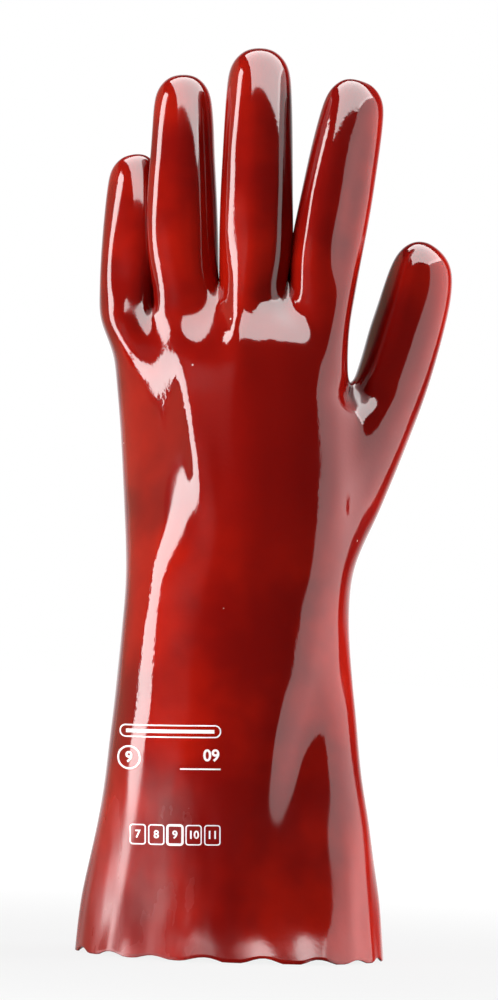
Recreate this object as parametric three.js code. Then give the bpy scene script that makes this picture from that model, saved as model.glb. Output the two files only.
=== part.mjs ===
// PVC-coated gauntlet work glove for the left hand, standing on its hem with the fingers up.
//
// Frame, in millimetres: +Z runs up the fingers, -Y faces out of the back of the hand, +Y out of the palm,
// and +X points to the thumb's side. The origin lies under the middle of the glove, level with its hem.
//
// The glove is dipped in one piece, so it is one hollow shell: a coarse cage of rings is laid over the
// gauntlet, the hand, the four fingers and the thumb, smoothed into a round skin, dented, and given
// its wall.

import * as THREE from "three";

// Gauntlet and wrist
const GAUNTLET_LENGTH = 136; // hem to the narrowest place of the wrist
const CUFF_WIDTH = 119; // across the hem
const CUFF_DEPTH = 84; // front to back at the hem
const WRIST_WIDTH = 86.8;
const WRIST_DEPTH = 65;

// Hand
const PALM_LENGTH = 122; // wrist to the middle finger's root
const PALM_WIDTH = 96; // across the four finger roots
const PALM_DEPTH = 62; // thickest place, at the ball of the thumb
const KNUCKLE_DEPTH = 40; // front to back where the fingers part

// Fingers: root to tip, and across
const LITTLE_LENGTH = 61.5;
const RING_LENGTH = 85.2;
const MIDDLE_LENGTH = 93.2;
const INDEX_LENGTH = 82;
const LITTLE_WIDTH = 22.8;
const RING_WIDTH = 26.4;
const MIDDLE_WIDTH = 28.8;
const INDEX_WIDTH = 28.2;

// Thumb
const THUMB_LENGTH = 92; // middle of its root to its tip, measured up the glove
const THUMB_REACH = 24; // how far its tip stands out beyond the side of the hand
const THUMB_WIDTH = 28;
const THUMB_DEPTH = 27;

// Coating and hem
const WALL = 1.5; // coating and the knitted liner fused in it
const HEM_BAND = 5; // height of the plain band that ends in the wavy cut
const HEM_WAVE = 2; // height of the waves left by the cut
const HEM_WAVES = 17; // waves round the whole hem

// Columns of the ring that runs round the hand, counted from the thumb's side by way of the palm
const COLUMNS = 20;
const THUMB_COLUMNS = [19, 0, 1, 2]; // the thumb grows out between these
const FINGERS_ACROSS = 4;
const FINGER_COLUMNS = 8;

// A section of the gauntlet. up is a share of its length above the hem band; the flares are shares of the
// way from the wrist's size out to the hem's.
const GAUNTLET_SECTIONS = [
  { up: 0.0, flareLeft: 0.985, flareRight: 0.98, flareDepth: 1.0 },
  { up: 0.07, flareLeft: 0.94, flareRight: 0.92, flareDepth: 0.58 },
  { up: 0.15, flareLeft: 0.85, flareRight: 0.84, flareDepth: 0.54 },
  { up: 0.285, flareLeft: 0.61, flareRight: 0.66, flareDepth: 0.48 },
  { up: 0.44, flareLeft: 0.41, flareRight: 0.46, flareDepth: 0.36 },
  { up: 0.62, flareLeft: 0.27, flareRight: 0.29, flareDepth: 0.2 },
  { up: 0.81, flareLeft: 0.13, flareRight: 0.07, flareDepth: 0.06 },
  { up: 1.0, flareLeft: -0.02, flareRight: -0.02, flareDepth: 0.0 },
];

// A section of the hand. up is a share of the palm's length above the wrist, left and right are shares of
// its width, back and palm of its depth, square is how boxy the section is, from 2 for an ellipse, slant
// sets its right side higher, and fall is how steeply its left side falls back from the ridge over the ring
// finger's bone.
const HAND_SECTIONS = [
  { up: 0.14, left: -0.474, right: 0.44, back: -0.52, palm: 0.5, square: 2.15, slant: 0.0, fall: 0.14 },
  { up: 0.33, left: -0.494, right: 0.448, back: -0.49, palm: 0.46, square: 2.2, slant: 0.0, fall: 0.6 },
  { up: 0.525, left: -0.514, right: 0.42, back: -0.45, palm: 0.41, square: 2.3, slant: 0.0, fall: 0.74 },
  { up: 0.7, left: -0.54, right: 0.388, back: -0.41, palm: 0.37, square: 2.4, slant: 0.05, fall: 0.68 },
  { up: 0.83, left: -0.552, right: 0.384, back: -0.38, palm: 0.34, square: 2.6, slant: 0.12, fall: 0.32 },
];
const THUMB_ROWS = 4; // the thumb takes up the lowest of these sections
const RIDGE = -0.12; // where the ridge runs, as a share of the palm's width
const PALM_FALL = 0.4; // how much of the fall the palm takes part in
const SKEW = -0.06; // how far the sections lean back towards the little finger's side
// Grooves that run down from the webs between the knuckles, in shares of the palm's depth.
const KNUCKLE_GROOVES = [
  { column: 13, deep: 0.06 },
  { column: 15, deep: 0.05 },
  { column: 17, deep: 0.03 },
];

// A finger. x and tipX are shares of the palm's width to its root's and tip's middle lines, drop is a share
// of the palm's length below the middle finger's root, y a share of the knuckles' depth, and curl a share of
// the finger's own length.
const FINGERS = [
  { length: LITTLE_LENGTH, width: LITTLE_WIDTH, x: -0.508, tipX: -0.503, drop: 0.092, y: 0.34, curl: 0.2 },
  { length: RING_LENGTH, width: RING_WIDTH, x: -0.272, tipX: -0.322, drop: 0.024, y: 0.14, curl: 0.18 },
  { length: MIDDLE_LENGTH, width: MIDDLE_WIDTH, x: 0.006, tipX: -0.01, drop: 0.0, y: -0.07, curl: 0.17 },
  { length: INDEX_LENGTH, width: INDEX_WIDTH, x: 0.266, tipX: 0.398, drop: -0.002, y: -0.03, curl: 0.16 },
];
const FINGER_ROUNDNESS = 0.93; // a finger's depth as a share of its width

// Sections up a finger: along is a share of the straight part, girth a share of the finger's width.
const FINGER_SHAFT = [
  { along: 0.14, girth: 0.985 },
  { along: 0.34, girth: 0.99 },
  { along: 0.55, girth: 0.97 },
  { along: 0.78, girth: 0.93 },
  { along: 0.99, girth: 0.875 },
];
// Sections of the round end: below is the distance under the tip in half-widths.
const ROUND_END = [
  { below: 0.46, girth: 0.8 },
  { below: 0.08, girth: 0.47 },
];
const END_DOME = 0.13; // how far the middle of the end stands above its last section, in half-widths

// Webs between the fingers: rise above the mean of the two roots, and depth, in shares of the knuckles'
// depth. The web runs from the back of the hand over a saddle to the palm.
const WEB_BACK = { rise: -0.24, depth: -0.22 };
const WEB_SADDLE = { rise: 0.12, depth: 0.08 };
const WEB_PALM = { rise: -0.04, depth: 0.36 };

// Sections of the thumb from its root to its tip. out is a share of the reach and up of the length, both
// to the section's middle; across and deep are shares of the thumb's width and depth, y is a share of the
// palm's depth, and tilt is how far the section leans out from level, in degrees.
const THUMB_SECTIONS = [
  { out: 0.1, up: 0.115, across: 1.92, deep: 1.4, y: 0.17, tilt: 78 },
  { out: 0.29, up: 0.25, across: 1.5, deep: 1.28, y: 0.21, tilt: 66 },
  { out: 0.475, up: 0.39, across: 1.25, deep: 1.14, y: 0.24, tilt: 52 },
  { out: 0.625, up: 0.53, across: 1.1, deep: 1.04, y: 0.26, tilt: 36 },
  { out: 0.78, up: 0.68, across: 1.0, deep: 0.98, y: 0.27, tilt: 23 },
  { out: 0.9, up: 0.82, across: 0.95, deep: 0.92, y: 0.27, tilt: 15 },
  { out: 0.965, up: 0.93, across: 0.82, deep: 0.82, y: 0.27, tilt: 12 },
  { out: 0.985, up: 0.985, across: 0.47, deep: 0.47, y: 0.27, tilt: 12 },
];

// Soft dents and swellings in the skin. x is a share of the palm's width and z of the whole length, side
// says which face of the glove it is on, wide and high are its half-sizes in millimetres' share of the
// palm's width, turn leans it clockwise in degrees, and deep is in walls (negative swells).
const DENTS = [
  { x: 0.49, z: 0.515, side: "back", wide: 0.07, high: 0.16, turn: 12, deep: 1.6 },
  { x: -0.25, z: 0.705, side: "back", wide: 0.1, high: 0.12, turn: 0, deep: 2.27 },
  { x: 0.08, z: 0.721, side: "back", wide: 0.12, high: 0.11, turn: 0, deep: 1.87 },
  { x: 0.29, z: 0.215, side: "back", wide: 0.125, high: 0.42, turn: 14, deep: 3.47 },
];

const GLOVE_LENGTH = GAUNTLET_LENGTH + PALM_LENGTH + MIDDLE_LENGTH;
const lerp = THREE.MathUtils.lerp;
const radians = THREE.MathUtils.degToRad;

// Smoothing pulls a ring of n cage points in towards its centre; this factor sets them out to make up.
function ringGain(n) {
  return 6 / (4 + 2 * Math.cos((2 * Math.PI) / n));
}

// The cage: points, and quads whose corners run anticlockwise seen from outside.
const cage = { points: [], quads: [] };

function addPoint(x, y, z) {
  cage.points.push(new THREE.Vector3(x, y, z));
  return cage.points.length - 1;
}

function joinRings(lower, upper, skipped = []) {
  lower.forEach((_, i) => {
    if (skipped.includes(i)) return;
    const next = (i + 1) % lower.length;
    cage.quads.push([lower[i], lower[next], upper[next], upper[i]]);
  });
}

// One value of a boxy ellipse: the sign and a power of a sine or cosine.
function boxy(value, square) {
  return Math.sign(value) * Math.abs(value) ** (2 / square);
}

function handRing({ left, right, back, palm, square, skew, slant, fall, z }) {
  const gain = ringGain(COLUMNS);
  const middle = (left + right) / 2;
  const halfWidth = ((right - left) / 2) * gain;
  return Array.from({ length: COLUMNS }, (_, column) => {
    const angle = (2 * Math.PI * column) / COLUMNS;
    const depth = angle < Math.PI ? palm * gain : -back * gain;
    const x = middle + halfWidth * boxy(Math.cos(angle), square);
    const share = lerp(1, PALM_FALL, (1 + Math.sin(angle)) / 2);
    const fallen = fall * share * Math.max(0, RIDGE * PALM_WIDTH - x);
    return addPoint(x, depth * boxy(Math.sin(angle), square) + skew * x + fallen, z + slant * x);
  });
}

function gauntletRing(section) {
  const halfWidth = (flare) => lerp(WRIST_WIDTH, CUFF_WIDTH, flare) / 2;
  const halfDepth = lerp(WRIST_DEPTH, CUFF_DEPTH, section.flareDepth) / 2;
  const lean = -0.02 * PALM_WIDTH * section.up;
  return handRing({
    left: lean - halfWidth(section.flareLeft),
    right: lean + halfWidth(section.flareRight),
    back: -halfDepth,
    palm: halfDepth,
    square: 2,
    skew: 0,
    slant: 0,
    fall: 0,
    z: lerp(HEM_BAND, GAUNTLET_LENGTH, section.up),
  });
}

function palmRing(section) {
  return handRing({
    left: section.left * PALM_WIDTH,
    right: section.right * PALM_WIDTH,
    back: section.back * PALM_DEPTH,
    palm: section.palm * PALM_DEPTH,
    square: section.square,
    skew: SKEW,
    slant: section.slant,
    fall: section.fall,
    z: GAUNTLET_LENGTH + section.up * PALM_LENGTH,
  });
}

// Where a finger's middle line runs: share 0 is its root and 1 its tip.
function fingerCentre(finger, share) {
  return new THREE.Vector3(
    PALM_WIDTH * lerp(finger.x, finger.tipX, share),
    KNUCKLE_DEPTH * finger.y + finger.curl * finger.length * share ** 2,
    rootHeight(finger) + finger.length * share,
  );
}

function rootHeight(finger) {
  return GAUNTLET_LENGTH + PALM_LENGTH * (1 - finger.drop);
}

// The ring round the four finger roots, with the three webs' saddle points.
function knuckleRing() {
  const ring = new Array(COLUMNS);
  const saddles = [];
  const halfDepth = (KNUCKLE_DEPTH / 2) * ringGain(FINGER_COLUMNS);
  FINGERS.forEach((finger, i) => {
    const root = fingerCentre(finger, 0);
    ring[12 + 2 * i] = addPoint(root.x, root.y - 0.8 * halfDepth, root.z - 0.1 * KNUCKLE_DEPTH);
    ring[8 - 2 * i] = addPoint(root.x, root.y + 0.8 * halfDepth, root.z - 0.1 * KNUCKLE_DEPTH);
    if (i === FINGERS.length - 1) return;
    const next = fingerCentre(FINGERS[i + 1], 0);
    const x = (root.x + finger.width / 2 + next.x - FINGERS[i + 1].width / 2) / 2;
    const y = (root.y + next.y) / 2;
    const z = (root.z + next.z) / 2;
    const place = (web) => addPoint(x, y + web.depth * KNUCKLE_DEPTH, z + web.rise * KNUCKLE_DEPTH);
    ring[13 + 2 * i] = place(WEB_BACK);
    ring[7 - 2 * i] = place(WEB_PALM);
    saddles.push(place(WEB_SADDLE));
  });
  const little = FINGERS[0];
  const index = FINGERS[FINGERS.length - 1];
  [
    { finger: little, side: -1, columns: [9, 10, 11] },
    { finger: index, side: 1, columns: [1, 0, 19] },
  ].forEach(({ finger, side, columns }) => {
    const root = fingerCentre(finger, 0);
    const out = (finger.width / 2) * ringGain(FINGER_COLUMNS);
    const z = root.z - 0.08 * KNUCKLE_DEPTH;
    ring[columns[0]] = addPoint(root.x + side * out * 0.8, root.y + 0.6 * halfDepth, z);
    ring[columns[1]] = addPoint(root.x + side * out * 0.93, root.y, z);
    ring[columns[2]] = addPoint(root.x + side * out * 0.8, root.y - 0.6 * halfDepth, z);
  });
  return { ring, saddles };
}

// A level or leaning ring round a middle line, counted from the thumb's side by way of the palm.
function limbRing(centre, across, deep, halfWidth, halfDepth, count, turn = 0) {
  const gain = ringGain(count);
  return Array.from({ length: count }, (_, i) => {
    const angle = (2 * Math.PI * i) / count + turn;
    const point = centre
      .clone()
      .addScaledVector(across, halfWidth * gain * Math.cos(angle))
      .addScaledVector(deep, halfDepth * gain * Math.sin(angle));
    return addPoint(point.x, point.y, point.z);
  });
}

// Closes a ring with a square grid of quads whose corners are ring points 1, 1 + side and so on.
function closeEnd(ring, outward, dome) {
  const side = ring.length / 4;
  const at = (i) => ring[(i + ring.length) % ring.length];
  const point = (i) => cage.points[at(i)];
  const grid = Array.from({ length: side + 1 }, () => new Array(side + 1));
  for (let i = 0; i <= side; i++) {
    grid[i][0] = at(1 + i);
    grid[side][i] = at(1 + side + i);
    grid[i][side] = at(1 + 3 * side - i);
    grid[0][i] = at(1 + 4 * side - i);
  }
  const centre = average(ring.map((i) => cage.points[i]));
  for (let i = 1; i < side; i++) {
    for (let j = 1; j < side; j++) {
      const across = point(1 + 4 * side - j).clone().lerp(point(1 + side + j), i / side);
      const along = point(1 + i).clone().lerp(point(1 + 3 * side - i), j / side);
      const inner = across.add(along).divideScalar(2).lerp(centre, 0.1).addScaledVector(outward, dome);
      grid[i][j] = addPoint(inner.x, inner.y, inner.z);
    }
  }
  for (let i = 0; i < side; i++) {
    for (let j = 0; j < side; j++) {
      cage.quads.push([grid[i][j], grid[i + 1][j], grid[i + 1][j + 1], grid[i][j + 1]]);
    }
  }
}

function addFinger(finger, root) {
  const halfWidth = finger.width / 2;
  const endStart = 1 - halfWidth / finger.length;
  const sections = [
    ...FINGER_SHAFT.map(({ along, girth }) => ({ share: along * endStart, girth })),
    ...ROUND_END.map(({ below, girth }) => ({ share: 1 - (below * halfWidth) / finger.length, girth })),
  ];
  let last = root;
  let outward;
  sections.forEach(({ share, girth }) => {
    const ahead = fingerCentre(finger, share + 0.02);
    outward = ahead.sub(fingerCentre(finger, share - 0.02)).normalize();
    const across = new THREE.Vector3(1, 0, 0).addScaledVector(outward, -outward.x).normalize();
    const deep = outward.clone().cross(across);
    const size = halfWidth * girth;
    const centre = fingerCentre(finger, share);
    const ring = limbRing(centre, across, deep, size, size * FINGER_ROUNDNESS, FINGER_COLUMNS);
    joinRings(last, ring);
    last = ring;
  });
  closeEnd(last, outward, END_DOME * halfWidth);
}

function addThumb(root) {
  const rootX = HAND_SECTIONS[1].right * PALM_WIDTH;
  const rootZ = GAUNTLET_LENGTH + 0.41 * PALM_LENGTH;
  const count = root.length;
  let last = root;
  let outward;
  THUMB_SECTIONS.forEach(({ out, up, across, deep, y, tilt }) => {
    const lean = radians(tilt);
    outward = new THREE.Vector3(Math.sin(lean), 0, Math.cos(lean));
    const level = new THREE.Vector3(Math.cos(lean), 0, -Math.sin(lean));
    const depthwise = new THREE.Vector3(0, 1, 0);
    const centre = new THREE.Vector3(rootX + out * THUMB_REACH, y * PALM_DEPTH, rootZ + up * THUMB_LENGTH);
    const halfWidth = (across * THUMB_WIDTH) / 2;
    const halfDepth = (deep * THUMB_DEPTH) / 2;
    const ring = limbRing(centre, level, depthwise, halfWidth, halfDepth, count, Math.PI / count);
    joinRings(last, ring);
    last = ring;
  });
  closeEnd(last, outward, (END_DOME * THUMB_WIDTH) / 2);
}

function buildCage() {
  const gauntlet = GAUNTLET_SECTIONS.map(gauntletRing);
  const palm = HAND_SECTIONS.map(palmRing);
  KNUCKLE_GROOVES.forEach(({ column, deep }) => {
    cage.points[palm[palm.length - 1][column]].y += deep * PALM_DEPTH;
  });
  const { ring: knuckles, saddles } = knuckleRing();
  const rings = [...gauntlet, ...palm, knuckles];
  const firstPalm = gauntlet.length;
  rings.slice(1).forEach((upper, i) => {
    const besideThumb = i >= firstPalm && i < firstPalm + THUMB_ROWS - 1;
    joinRings(rings[i], upper, besideThumb ? THUMB_COLUMNS.slice(0, -1) : []);
  });

  FINGERS.forEach((finger, i) => {
    const back = 12 + 2 * i;
    const front = 8 - 2 * i;
    const rightSide = i < FINGERS_ACROSS - 1 ? saddles[i] : knuckles[0];
    const leftSide = i > 0 ? saddles[i - 1] : knuckles[10];
    addFinger(finger, [
      rightSide,
      knuckles[front - 1],
      knuckles[front],
      knuckles[front + 1],
      leftSide,
      knuckles[back - 1],
      knuckles[back],
      knuckles[back + 1],
    ]);
  });

  const [outerBack, nearBack, nearPalm, outerPalm] = THUMB_COLUMNS;
  const [bottom, lower, upper, top] = palm;
  addThumb([
    bottom[nearPalm],
    bottom[outerPalm],
    lower[outerPalm],
    upper[outerPalm],
    top[outerPalm],
    top[nearPalm],
    top[nearBack],
    top[outerBack],
    upper[outerBack],
    lower[outerBack],
    bottom[outerBack],
    bottom[nearBack],
  ]);
}

// The cage without the points that the opening for the thumb leaves unused.
function usedCage() {
  const used = [...new Set(cage.quads.flat())].sort((a, b) => a - b);
  const place = new Map(used.map((p, i) => [p, i]));
  const quads = cage.quads.map((quad) => quad.map((p) => place.get(p)));
  return { points: used.map((p) => cage.points[p]), quads };
}

// The edges of a quad mesh, each with its two ends and the one or two quads beside it.
function edgesOf(quads) {
  const edges = new Map();
  quads.forEach((quad, q) =>
    quad.forEach((a, corner) => {
      const b = quad[(corner + 1) % 4];
      const key = a < b ? `${a}_${b}` : `${b}_${a}`;
      if (!edges.has(key)) edges.set(key, { a, b, quads: [] });
      edges.get(key).quads.push(q);
    }),
  );
  return edges;
}

function average(points) {
  return points.reduce((sum, p) => sum.add(p), new THREE.Vector3()).divideScalar(points.length);
}

// What surrounds each point: the far ends of its edges, its quads, and its neighbours along the open hem.
function surroundings(mesh, edges) {
  const around = mesh.points.map(() => ({ ends: [], quads: [], hem: [] }));
  edges.forEach(({ a, b, quads }) => {
    around[a].ends.push(b);
    around[b].ends.push(a);
    if (quads.length === 1) {
      around[a].hem.push(b);
      around[b].hem.push(a);
    }
  });
  mesh.quads.forEach((quad, q) => quad.forEach((p) => around[p].quads.push(q)));
  return around;
}

// A point of the open hem drawn towards its two neighbours there, with its own weight.
function alongHem(point, last, next, weight) {
  return point.clone().multiplyScalar(weight).add(last).add(next).divideScalar(weight + 2);
}

// One step of Catmull-Clark subdivision.
function subdivide(mesh) {
  const { points, quads } = mesh;
  const edges = edgesOf(quads);
  const around = surroundings(mesh, edges);
  const middles = quads.map((quad) => average(quad.map((p) => points[p])));
  const moved = points.map((point, p) => {
    const { ends, quads: beside, hem } = around[p];
    if (hem.length) return alongHem(point, points[hem[0]], points[hem[1]], 6);
    const n = ends.length;
    const edgeMiddles = average(ends.map((e) => points[e].clone().add(point).divideScalar(2)));
    const quadMiddles = average(beside.map((q) => middles[q]));
    return quadMiddles.add(edgeMiddles.multiplyScalar(2)).addScaledVector(point, n - 3).divideScalar(n);
  });
  const middleAt = middles.map((_, q) => moved.length + q);
  moved.push(...middles);
  const edgeAt = new Map();
  edges.forEach(({ a, b, quads: beside }, key) => {
    edgeAt.set(key, moved.length);
    const ends = [points[a], points[b]];
    moved.push(average(beside.length === 2 ? [...ends, middles[beside[0]], middles[beside[1]]] : ends));
  });
  const key = (a, b) => (a < b ? `${a}_${b}` : `${b}_${a}`);
  const finer = quads.flatMap((quad, q) =>
    quad.map((p, corner) => {
      const next = quad[(corner + 1) % 4];
      const last = quad[(corner + 3) % 4];
      return [p, edgeAt.get(key(p, next)), middleAt[q], edgeAt.get(key(last, p))];
    }),
  );
  return { points: moved, quads: finer };
}

// Moves each point to where endless subdivision would take it.
function settle(mesh) {
  const { points, quads } = mesh;
  const around = surroundings(mesh, edgesOf(quads));
  const settled = points.map((point, p) => {
    const { ends, quads: beside, hem } = around[p];
    if (hem.length) return alongHem(point, points[hem[0]], points[hem[1]], 4);
    const n = ends.length;
    const sum = point.clone().multiplyScalar(n * n);
    ends.forEach((e) => sum.addScaledVector(points[e], 4));
    beside.forEach((q) => {
      const opposite = quads[q][(quads[q].indexOf(p) + 2) % 4];
      sum.add(points[opposite]);
    });
    return sum.divideScalar(n * (n + 5));
  });
  return { points: settled, quads };
}

function normalsOf(mesh) {
  const normals = mesh.points.map(() => new THREE.Vector3());
  mesh.quads.forEach(([a, b, c, d]) => {
    const diagonal = mesh.points[c].clone().sub(mesh.points[a]);
    const other = mesh.points[d].clone().sub(mesh.points[b]);
    const normal = diagonal.cross(other);
    [a, b, c, d].forEach((p) => normals[p].add(normal));
  });
  return normals.map((normal) => normal.normalize());
}

// How deep the dents are at a point of the skin.
function dentAt(point, normal) {
  return DENTS.reduce((sum, dent) => {
    const facing = THREE.MathUtils.smoothstep(dent.side === "back" ? -normal.y : normal.y, -0.1, 0.4);
    const turn = radians(dent.turn);
    const dx = point.x - dent.x * PALM_WIDTH;
    const dz = point.z - dent.z * GLOVE_LENGTH;
    const across = (dx * Math.cos(turn) - dz * Math.sin(turn)) / (dent.wide * PALM_WIDTH);
    const along = (dx * Math.sin(turn) + dz * Math.cos(turn)) / (dent.high * PALM_WIDTH);
    return sum + dent.deep * WALL * facing * Math.exp(-(across ** 2) - along ** 2);
  }, 0);
}

// Height of the wavy cut at a share of the way round the hem. The troughs are flat and stand on the ground.
function hemHeight(share) {
  const turn = 2 * Math.PI * share;
  const wave = Math.sin(HEM_WAVES * turn) + 0.3 * Math.sin((HEM_WAVES - 4) * turn + 1);
  return Math.max(0, (HEM_WAVE * (wave + 0.6)) / 1.9);
}

const HEM_STEPS = 3; // points of the cut edge for each point of the skin's lowest row

// The skin's lowest row, in order round the hem.
function hemLoop(mesh) {
  const next = new Map();
  edgesOf(mesh.quads).forEach(({ quads: beside }, key) => {
    if (beside.length === 2) return;
    const quad = mesh.quads[beside[0]];
    const [a, b] = key.split("_").map(Number);
    const follows = quad[(quad.indexOf(a) + 1) % 4] === b;
    next.set(follows ? a : b, follows ? b : a);
  });
  const start = [...next.keys()].reduce((best, p) => (mesh.points[p].x > mesh.points[best].x ? p : best));
  const loop = [start];
  for (let p = next.get(start); p !== start; p = next.get(p)) loop.push(p);
  return loop;
}

// The points of one face of the cut edge below a loop of the skin.
function cutEdge(loop, slope) {
  const curve = new THREE.CatmullRomCurve3(loop, true, "catmullrom");
  const slopes = new THREE.CatmullRomCurve3(slope, true, "catmullrom");
  const count = loop.length * HEM_STEPS;
  return Array.from({ length: count }, (_, i) => {
    const share = i / count;
    const point = curve.getPoint(share);
    const outward = slopes.getPoint(share);
    const drop = point.z - hemHeight(share);
    return point.addScaledVector(outward, drop).setZ(point.z - drop * (1 + outward.z));
  });
}

// Turns the skin into a closed shell: the skin, a second one a wall's thickness inside it, and the hem.
function shellGeometry(skin) {
  const normals = normalsOf(skin);
  const inner = skin.points.map((p, i) => p.clone().addScaledVector(normals[i], -WALL));
  const points = [...skin.points, ...inner];
  const triangles = [];
  const offset = skin.points.length;
  skin.quads.forEach(([a, b, c, d]) => {
    triangles.push([a, b, c], [a, c, d]);
    triangles.push([offset + a, offset + c, offset + b], [offset + a, offset + d, offset + c]);
  });

  const loop = hemLoop(skin);
  const flare = loop.map((p) => {
    const out = new THREE.Vector3(skin.points[p].x, skin.points[p].y, 0).normalize();
    const rise = normals[p];
    const slope = -rise.z / Math.max(0.2, Math.hypot(rise.x, rise.y));
    return out.multiplyScalar(-slope).setZ(0);
  });
  const faces = [
    { row: loop, edge: cutEdge(loop.map((p) => skin.points[p]), flare), outside: true },
    { row: loop.map((p) => offset + p), edge: cutEdge(loop.map((p) => inner[p]), flare), outside: false },
  ];
  const edges = faces.map(({ row, edge, outside }) => {
    const first = points.length;
    points.push(...edge);
    const at = (i) => first + (i % edge.length);
    row.forEach((u, i) => {
      const v = row[(i + 1) % row.length];
      const low = HEM_STEPS * i;
      const strip = [[at(low), at(low + 1), u], [at(low + 1), v, u]];
      for (let step = 1; step < HEM_STEPS; step++) strip.push([at(low + step), at(low + step + 1), v]);
      strip.forEach(([a, b, c]) => triangles.push(outside ? [a, b, c] : [a, c, b]));
    });
    return at;
  });
  const [outer, inside] = edges;
  for (let i = 0; i < loop.length * HEM_STEPS; i++) {
    triangles.push([outer(i), inside(i), inside(i + 1)], [outer(i), inside(i + 1), outer(i + 1)]);
  }

  const geometry = new THREE.BufferGeometry();
  const places = points.flatMap((p) => p.toArray());
  geometry.setAttribute("position", new THREE.Float32BufferAttribute(places, 3));
  geometry.setIndex(triangles.flat());
  geometry.computeVertexNormals();
  return geometry;
}

buildCage();
const skin = settle(subdivide(usedCage()));
const skinNormals = normalsOf(skin);
skin.points.forEach((point, i) => point.addScaledVector(skinNormals[i], -dentAt(point, skinNormals[i])));

const redPvc = new THREE.MeshStandardMaterial({ color: 0x8f120c, roughness: 0.12, metalness: 0 });
const shell = new THREE.Mesh(shellGeometry(skin), redPvc);
shell.name = "glove_shell";

const glove = new THREE.Group();
glove.add(shell);

// The middle of the glove's width and depth comes over the origin, and its hem to the ground.
shell.geometry.computeBoundingBox();
const box = shell.geometry.boundingBox;
shell.position.set(-(box.min.x + box.max.x) / 2, -(box.min.y + box.max.y) / 2, -box.min.z);

export default glove;
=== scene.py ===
"""The looks of a PVC-coated gauntlet work glove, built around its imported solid.

A left glove seen from the back of the hand, standing on its hem with the fingers up. Lengths are in
metres: +Z runs up the fingers, -Y faces out of the back of the hand and +X points to the thumb's side.
"""

import math

import bmesh
import bpy
import numpy as np
from mathutils import Matrix, Vector, noise
from mathutils.bvhtree import BVHTree


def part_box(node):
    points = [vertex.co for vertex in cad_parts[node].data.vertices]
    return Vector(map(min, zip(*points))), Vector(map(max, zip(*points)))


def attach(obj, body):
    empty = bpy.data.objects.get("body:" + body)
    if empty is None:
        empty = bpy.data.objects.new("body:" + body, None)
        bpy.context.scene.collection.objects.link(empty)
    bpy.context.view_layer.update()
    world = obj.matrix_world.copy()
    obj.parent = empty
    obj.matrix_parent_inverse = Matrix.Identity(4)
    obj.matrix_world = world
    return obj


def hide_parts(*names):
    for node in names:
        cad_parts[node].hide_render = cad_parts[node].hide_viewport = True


bl_info = {
    "name": "PVC Work Glove",
    "version": (1, 0, 0),
    "blender": (4, 5, 0),
    "location": "View3D > Sidebar > Glove",
    "description": "Builds a coated gauntlet glove, its knitted liner, its size print and a studio",
    "category": "Add Mesh",
}

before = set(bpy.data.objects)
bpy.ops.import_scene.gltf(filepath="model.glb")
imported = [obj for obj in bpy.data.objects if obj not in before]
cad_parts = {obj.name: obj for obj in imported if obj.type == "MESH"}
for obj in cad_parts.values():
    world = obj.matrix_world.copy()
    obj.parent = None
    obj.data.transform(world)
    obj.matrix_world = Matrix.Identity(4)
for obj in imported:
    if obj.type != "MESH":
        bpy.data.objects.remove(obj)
SOLID = "glove_shell"
SOLID_LOW, SOLID_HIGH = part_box(SOLID)
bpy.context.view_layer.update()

# Columns of the ring that runs round the hand, counted from the thumb's side by way of the palm
COLUMNS = 20
THUMB_COLUMNS = (19, 0, 1, 2)
FINGER_COLUMNS = 8
THUMB_COLUMN_COUNT = 12

# Up the gauntlet, then how far out to the hem's size: left, right, front and back
GAUNTLET_SECTIONS = (
    (0.0, 0.985, 0.98, 1.0),
    (0.07, 0.94, 0.92, 0.58),
    (0.15, 0.85, 0.84, 0.54),
    (0.285, 0.61, 0.66, 0.48),
    (0.44, 0.41, 0.46, 0.36),
    (0.62, 0.27, 0.29, 0.2),
    (0.81, 0.13, 0.07, 0.06),
    (1.0, -0.02, -0.02, 0.0),
)

# Up the palm; left and right edge in palm widths; back and palm in palm depths; boxiness; slant; and how
# steeply the little finger's side falls back from the ridge over the ring finger's bone
HAND_SECTIONS = (
    (0.14, -0.474, 0.44, -0.52, 0.5, 2.15, 0.0, 0.14),
    (0.33, -0.494, 0.448, -0.49, 0.46, 2.2, 0.0, 0.6),
    (0.525, -0.514, 0.42, -0.45, 0.41, 2.3, 0.0, 0.74),
    (0.7, -0.54, 0.388, -0.41, 0.37, 2.4, 0.05, 0.68),
    (0.83, -0.552, 0.384, -0.38, 0.34, 2.6, 0.12, 0.32),
)
RIDGE = -0.12  # in palm widths
PALM_FALL = 0.4  # how much of that fall the palm takes part in
SKEW = -0.06  # how far the thumb's side of the hand stands towards the back, per width
CUFF_LEAN = -0.02  # how far the cuff's middle drifts up to the wrist, in palm widths

# Grooves between the knuckles: column of the last hand ring, and depth in palm depths
KNUCKLE_GROOVES = ((13, 0.06), (15, 0.05), (17, 0.03))
THUMB_ROOT_SECTION = 1
THUMB_ROOT_UP = 0.41  # in palm lengths

# Each finger: middle of the root and of the tip in palm widths, drop of the root in palm lengths, y of the
# root in knuckle depths, and curl in finger lengths
FINGERS = (
    ("little", -0.508, -0.503, 0.092, 0.34, 0.2),
    ("ring", -0.272, -0.322, 0.024, 0.14, 0.18),
    ("middle", 0.006, -0.01, 0.0, -0.07, 0.17),
    ("index", 0.266, 0.398, -0.002, -0.03, 0.16),
)
FINGER_ROUNDNESS = 0.93
FINGER_SHAFT = ((0.14, 0.985), (0.34, 0.99), (0.55, 0.97), (0.78, 0.93), (0.99, 0.875))
ROUND_END = ((0.46, 0.8), (0.08, 0.47))
END_DOME = 0.13

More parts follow.
